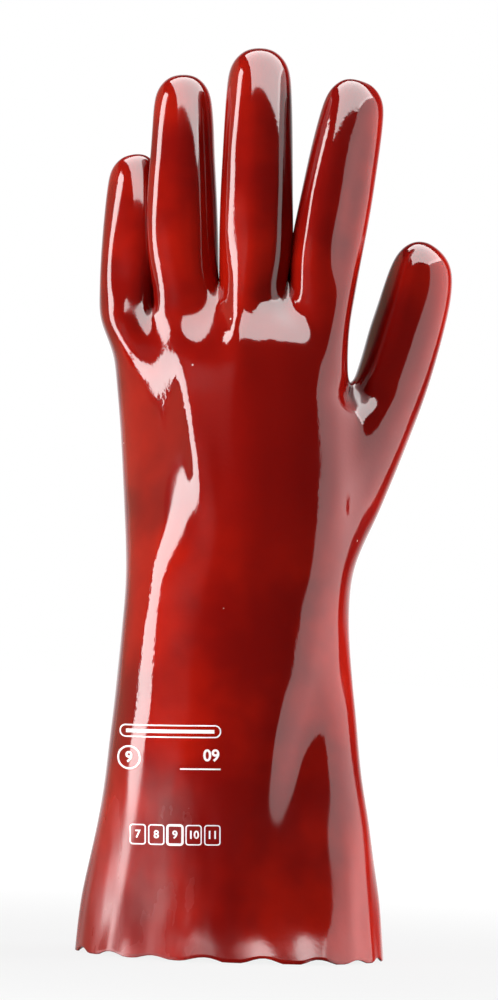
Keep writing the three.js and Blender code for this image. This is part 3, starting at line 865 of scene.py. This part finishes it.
class PrintLook(bpy.types.PropertyGroup):
    """The size print on the back of the cuff"""

    ink: bpy.props.FloatVectorProperty(
        name="Ink", description="Colour of the print", subtype="COLOR", default=(0.84, 0.8, 0.8)
    )
    size: bpy.props.IntProperty(name="Size", description="Hand size that is printed", default=9, min=6)
    centre_x: bpy.props.FloatProperty(
        name="Middle Across", description="Middle of the print", default=-0.0335, unit="LENGTH"
    )
    centre_z: bpy.props.FloatProperty(
        name="Middle Height", description="Middle of the print above the hem", default=0.0628, unit="LENGTH"
    )
    lean: bpy.props.FloatProperty(
        name="Lean", description="How far the print is turned", default=math.radians(2.1), subtype="ANGLE"
    )
    width: bpy.props.FloatProperty(
        name="Width", description="Across the whole print", default=0.0387, unit="LENGTH"
    )
    line: bpy.props.FloatProperty(
        name="Line", description="Width of a printed line", default=0.0005, unit="LENGTH"
    )
    thickness: bpy.props.FloatProperty(
        name="Thickness", description="Thickness of the ink", default=0.00006, unit="LENGTH"
    )
    longest_edge: bpy.props.FloatProperty(
        name="Longest Edge", description="Longest edge left straight", default=0.0012, unit="LENGTH"
    )


class FlatPrint:
    """The print's shapes laid out flat, in metres from its middle, before they are laid on the cuff."""

    def __init__(self):
        self.points = []
        self.faces = []

    def add(self, points, faces):
        start = len(self.points)
        self.points += points
        self.faces += [[start + p for p in face] for face in faces]

    def outline(self, x, y, wide, high, corner, line):
        """A rounded frame, or a ring when its corners take up the whole of it."""
        turns = 10
        loops = []
        for grow in (line / 2, -line / 2):
            radius = corner + grow
            half = (wide / 2 + grow - radius, high / 2 + grow - radius)
            loop = []
            for quarter, (sx, sy) in enumerate(((1, 1), (-1, 1), (-1, -1), (1, -1))):
                for step in range(turns + 1):
                    angle = (quarter + step / turns) * math.pi / 2
                    across = x + sx * half[0] + radius * math.cos(angle)
                    loop.append((across, y + sy * half[1] + radius * math.sin(angle)))
            loops.append(loop)
        count = len(loops[0])
        faces = [(i, (i + 1) % count, count + (i + 1) % count, count + i) for i in range(count)]
        self.add(loops[0] + loops[1], faces)

    def bar(self, x, y, wide, high):
        steps = 40
        across = [x - wide / 2 + wide * i / steps for i in range(steps + 1)]
        points = [(u, y + side * high / 2) for side in (-1, 1) for u in across]
        self.add(points, [(i, i + 1, steps + 2 + i, steps + 1 + i) for i in range(steps)])

    def text(self, words, x, y, high):
        curve = bpy.data.curves.new("print_text", "FONT")
        curve.body = words
        curve.size = high * FONT_SIZE
        curve.offset = high * FONT_BOLDNESS
        curve.align_x = "CENTER"
        curve.align_y = "CENTER"
        curve.resolution_u = 4
        obj = bpy.data.objects.new("print_text", curve)
        bpy.context.scene.collection.objects.link(obj)
        evaluated = obj.evaluated_get(bpy.context.evaluated_depsgraph_get())
        mesh = evaluated.to_mesh()
        points = [(x + v.co.x, y + v.co.y) for v in mesh.vertices]
        faces = [tuple(face.vertices) for face in mesh.polygons]
        evaluated.to_mesh_clear()
        bpy.data.objects.remove(obj)
        self.add(points, faces)


def print_layout(look):
    """A framed bar, the size in a ring, the size again and a row of boxed sizes, laid out in hundredths."""
    flat = FlatPrint()
    one = look.width / 100
    flat.outline(0, 62 * one, 100 * one, 11.5 * one, 5.6 * one, look.line)
    flat.bar(0, 62 * one, 88 * one, 3.6 * one)
    flat.outline(-41 * one, 35.5 * one, 22 * one, 22 * one, 10.9 * one, look.line * 1.4)
    flat.text(str(look.size), -41 * one, 35.5 * one, 11 * one)
    flat.text("%02d" % look.size, 41 * one, 38 * one, 12 * one)
    flat.bar(30 * one, 25 * one, 40 * one, 1.4 * one)
    for i in range(5):
        size = look.size - 2 + i
        x = (-32 + 18.5 * i) * one
        line = look.line * (1.8 if size == look.size else 0.9)
        flat.outline(x, -40 * one, 15 * one, 19 * one, 2.5 * one, line)
        flat.text(str(size), x, -40 * one, 8 * one)
    return flat


def fine_mesh(flat, longest_edge):
    """The flat print as triangles small enough to follow a curved skin."""
    mesh = bmesh.new()
    corners = [mesh.verts.new((x, y, 0)) for x, y in flat.points]
    for face in flat.faces:
        mesh.faces.new([corners[p] for p in face])
    for _ in range(MOST_HALVINGS):
        bmesh.ops.triangulate(mesh, faces=mesh.faces[:])
        long_edges = [edge for edge in mesh.edges if edge.calc_length() > longest_edge]
        if not long_edges:
            break
        bmesh.ops.subdivide_edges(mesh, edges=long_edges, cuts=1)
    return mesh


def lay_on_skin(mesh, coating, look):
    """Turns the flat print upright and drops it straight onto the back of the cuff."""
    faces = [tuple(face.vertices) for face in coating.polygons]
    skin = BVHTree.FromPolygons([vertex.co for vertex in coating.vertices], faces)
    in_front = SOLID_LOW[1] * 2
    for vertex in mesh.verts:
        x, y = vertex.co.x, vertex.co.y
        across = look.centre_x + x * math.cos(look.lean) - y * math.sin(look.lean)
        up = look.centre_z + x * math.sin(look.lean) + y * math.cos(look.lean)
        place, normal, _, _ = skin.ray_cast(Vector((across, in_front, up)), Vector((0, 1, 0)))
        if place is None:
            raise RuntimeError("The print reaches beyond the cuff")
        vertex.co = place + normal * look.thickness


def print_material(look):
    nodes = Nodes("white_print")
    nodes.shader.inputs["Base Color"].default_value = (*look.ink, 1)
    worn = nodes.ranged(nodes.cloud(900, 3, 0.6), 0.4, 0.6, 0.35, 0.6)
    nodes.link(worn, nodes.shader.inputs["Roughness"])
    return nodes.material


class GLOVE_OT_size_print(bpy.types.Operator):
    """Print the plain size marks on the back of the cuff"""

    bl_idname = "glove.size_print"
    bl_label = "Size Print"

    def execute(self, context):
        look = context.scene.print_look
        coating = bpy.data.objects["glove_coating"].data
        mesh = fine_mesh(print_layout(look), look.longest_edge)
        lay_on_skin(mesh, coating, look)
        mesh.normal_update()
        bmesh.ops.solidify(mesh, geom=mesh.faces[:], thickness=look.thickness)
        data = bpy.data.meshes.new("size_print")
        mesh.to_mesh(data)
        mesh.free()
        obj = bpy.data.objects.new("size_print", data)
        context.scene.collection.objects.link(obj)
        finish_piece(obj, print_material(look))
        return {"FINISHED"}


class StageLook(bpy.types.PropertyGroup):
    """The studio's floor, lights and camera"""

    camera_distance: bpy.props.FloatProperty(
        name="Camera Distance", description="Camera to the middle of the glove", default=2.6, unit="LENGTH"
    )
    camera_roll: bpy.props.FloatProperty(
        name="Camera Roll", description="Lean of the camera", default=math.radians(2.1), subtype="ANGLE"
    )
    focal_length: bpy.props.FloatProperty(
        name="Focal Length", description="Focal length of the lens in millimetres", default=241.7
    )
    strip_brightness: bpy.props.FloatProperty(
        name="Strip Light", description="Shine of the little finger's softbox", default=12
    )
    panel_brightness: bpy.props.FloatProperty(
        name="Panel Light", description="Shine of the wide panel on the thumb's side", default=2.1
    )
    top_brightness: bpy.props.FloatProperty(
        name="Top Light", description="Shine of the ceiling softbox over the fingertips", default=8.8
    )
    haze_brightness: bpy.props.FloatProperty(
        name="Haze Light", description="Shine of the dim wall beyond the strip light", default=0.35
    )
    key_brightness: bpy.props.FloatProperty(
        name="Key Light", description="Soft light that models the red", default=14
    )
    rim_brightness: bpy.props.FloatProperty(
        name="Rim Light", description="Soft light on the thumb's side", default=20
    )
    sky_brightness: bpy.props.FloatProperty(
        name="Sky Light", description="Soft light from above", default=4
    )


def softbox(name, brightness, size, azimuth, distance, z, shines=True):
    """An upright softbox facing the glove, at an azimuth from the camera towards the little finger's side.

    It either shines in the gloss or lights the colour, so that each can be set by itself.
    """
    light = bpy.data.lights.new(name, "AREA")
    light.shape = "RECTANGLE"
    light.size, light.size_y = size
    light.energy = brightness * math.pi * size[0] * size[1]
    obj = bpy.data.objects.new(name, light)
    turn = math.radians(azimuth)
    obj.location = (-distance * math.sin(turn), -distance * math.cos(turn), z)
    obj.rotation_euler = (math.pi / 2, 0, -turn)
    obj.visible_glossy = shines
    obj.visible_diffuse = not shines
    bpy.context.scene.collection.objects.link(obj)
    return obj


def ceiling_softbox(name, brightness, size, place, shines=True):
    """A softbox that hangs level over the glove and faces down."""
    obj = softbox(name, brightness, size, 0, 0, 0, shines)
    obj.location = place
    obj.rotation_euler = (0, 0, 0)


def studio_world():
    """White behind the glove and where the camera looks, dim everywhere else."""
    world = bpy.data.worlds.new("studio")
    bpy.context.scene.world = world
    world.use_nodes = True
    tree = world.node_tree
    tree.nodes.clear()
    output = tree.nodes.new("ShaderNodeOutputWorld")
    seen = tree.nodes.new("ShaderNodeLightPath")
    place = tree.nodes.new("ShaderNodeTexCoord")
    split = tree.nodes.new("ShaderNodeSeparateXYZ")
    behind = tree.nodes.new("ShaderNodeMapRange")
    behind.inputs["From Min"].default_value = 0.7
    behind.inputs["From Max"].default_value = 0.95
    either = tree.nodes.new("ShaderNodeMath")
    either.operation = "MAXIMUM"
    chooser = tree.nodes.new("ShaderNodeMixShader")
    dim = tree.nodes.new("ShaderNodeBackground")
    dim.inputs["Color"].default_value = (0.03, 0.03, 0.032, 1)
    white = tree.nodes.new("ShaderNodeBackground")
    white.inputs["Color"].default_value = (1, 1, 1, 1)
    tree.links.new(place.outputs["Generated"], split.inputs["Vector"])
    tree.links.new(split.outputs["Y"], behind.inputs["Value"])
    tree.links.new(behind.outputs["Result"], either.inputs[0])
    tree.links.new(seen.outputs["Is Camera Ray"], either.inputs[1])
    tree.links.new(either.outputs["Value"], chooser.inputs["Fac"])
    tree.links.new(dim.outputs["Background"], chooser.inputs[1])
    tree.links.new(white.outputs["Background"], chooser.inputs[2])
    tree.links.new(chooser.outputs["Shader"], output.inputs["Surface"])


def floor_material():
    """Pale floor that fades to white away from the glove."""
    nodes = Nodes("pale_floor")
    nodes.shader.inputs["Base Color"].default_value = (0.05, 0.05, 0.05, 1)
    nodes.shader.inputs["Roughness"].default_value = 0.9
    nodes.shader.inputs["Specular IOR Level"].default_value = 0
    nodes.shader.inputs["Emission Color"].default_value = (1, 1, 1, 1)
    length = nodes.tree.nodes.new("ShaderNodeVectorMath")
    length.operation = "LENGTH"
    nodes.link(nodes.place, length.inputs[0])
    fade = nodes.ranged(length.outputs["Value"], 0.1, 0.6, 0.86, 1.0)
    nodes.link(fade, nodes.shader.inputs["Emission Strength"])
    return nodes.material


def add_camera(look):
    """A long lens square to the back of the hand, leaning as the photograph does."""
    camera = bpy.data.cameras.new("camera")
    camera.lens = look.focal_length
    camera.sensor_width = 36
    camera.clip_end = 100
    viewer = bpy.data.objects.new("camera", camera)
    bpy.context.scene.collection.objects.link(viewer)
    roll = look.camera_roll
    right = Vector((math.cos(roll), 0, math.sin(roll)))
    up = Vector((-math.sin(roll), 0, math.cos(roll)))
    back = Vector((0, -1, 0))
    place = Matrix((right, up, back)).transposed().to_4x4()
    place.translation = Vector((CAMERA_X, -look.camera_distance, CAMERA_Z))
    viewer.matrix_world = place
    bpy.context.scene.camera = viewer


class GLOVE_OT_stage(bpy.types.Operator):
    """Set up the pale floor, the softboxes and the camera"""

    bl_idname = "glove.stage"
    bl_label = "Stage"

    def execute(self, context):
        look = context.scene.stage_look
        bpy.ops.mesh.primitive_circle_add(vertices=96, radius=4, fill_type="NGON", location=(0, 0, -0.0003))
        floor = context.active_object
        floor.name = "floor"
        floor.data.materials.append(floor_material())
        floor.visible_glossy = False
        floor.visible_diffuse = False
        studio_world()
        softbox("strip_softbox", look.strip_brightness, (0.35, 1.8), 81, distance=1.2, z=0.3)
        softbox("side_panel", look.panel_brightness, (1.47, 1.8), -86, distance=1.2, z=0.3)
        haze = softbox("haze_wall", look.haze_brightness, (1.2, 1.8), 117, distance=1.3, z=0.3)
        haze.data.color = (1, 0.85, 0.6)
        ceiling_softbox("top_softbox", look.top_brightness, (4.6, 3.58), (0.9, -0.59, 2.35))
        softbox("key_softbox", look.key_brightness, (1, 1.2), 55, distance=1.5, z=0, shines=False)
        softbox("rim_softbox", look.rim_brightness, (1, 1.2), -105, distance=1.5, z=0.2, shines=False)
        ceiling_softbox("sky_softbox", look.sky_brightness, (1, 1), (0, 0.1, 1.6), shines=False)
        add_camera(look)
        context.scene.view_settings.view_transform = "Standard"
        context.scene.view_settings.look = "None"
        return {"FINISHED"}


class GLOVE_PT_sidebar(bpy.types.Panel):
    """Lists the glove's pieces, top to bottom"""

    bl_label = "Work Glove"
    bl_idname = "GLOVE_PT_sidebar"
    bl_space_type = "VIEW_3D"
    bl_region_type = "UI"
    bl_category = "Glove"

    def draw(self, context):
        for operator in OPERATORS:
            self.layout.operator(operator.bl_idname)


PROPERTY_GROUPS = {
    "glove_sizes": GloveSizes,
    "coating_look": CoatingLook,
    "liner_look": LinerLook,
    "print_look": PrintLook,
    "stage_look": StageLook,
}
OPERATORS = (GLOVE_OT_coating, GLOVE_OT_liner, GLOVE_OT_size_print, GLOVE_OT_stage)


def register():
    for name, group in PROPERTY_GROUPS.items():
        bpy.utils.register_class(group)
        setattr(bpy.types.Scene, name, bpy.props.PointerProperty(type=group))
    for operator in OPERATORS:
        bpy.utils.register_class(operator)
    bpy.utils.register_class(GLOVE_PT_sidebar)


def unregister():
    bpy.utils.unregister_class(GLOVE_PT_sidebar)
    for operator in reversed(OPERATORS):
        bpy.utils.unregister_class(operator)
    for name, group in reversed(PROPERTY_GROUPS.items()):
        delattr(bpy.types.Scene, name)
        bpy.utils.unregister_class(group)


def main():
    register()
    bpy.ops.glove.coating()
    bpy.ops.glove.liner()
    bpy.ops.glove.size_print()
    bpy.ops.glove.stage()
    bpy.context.view_layer.update()


if __name__ == "__main__":
    main()
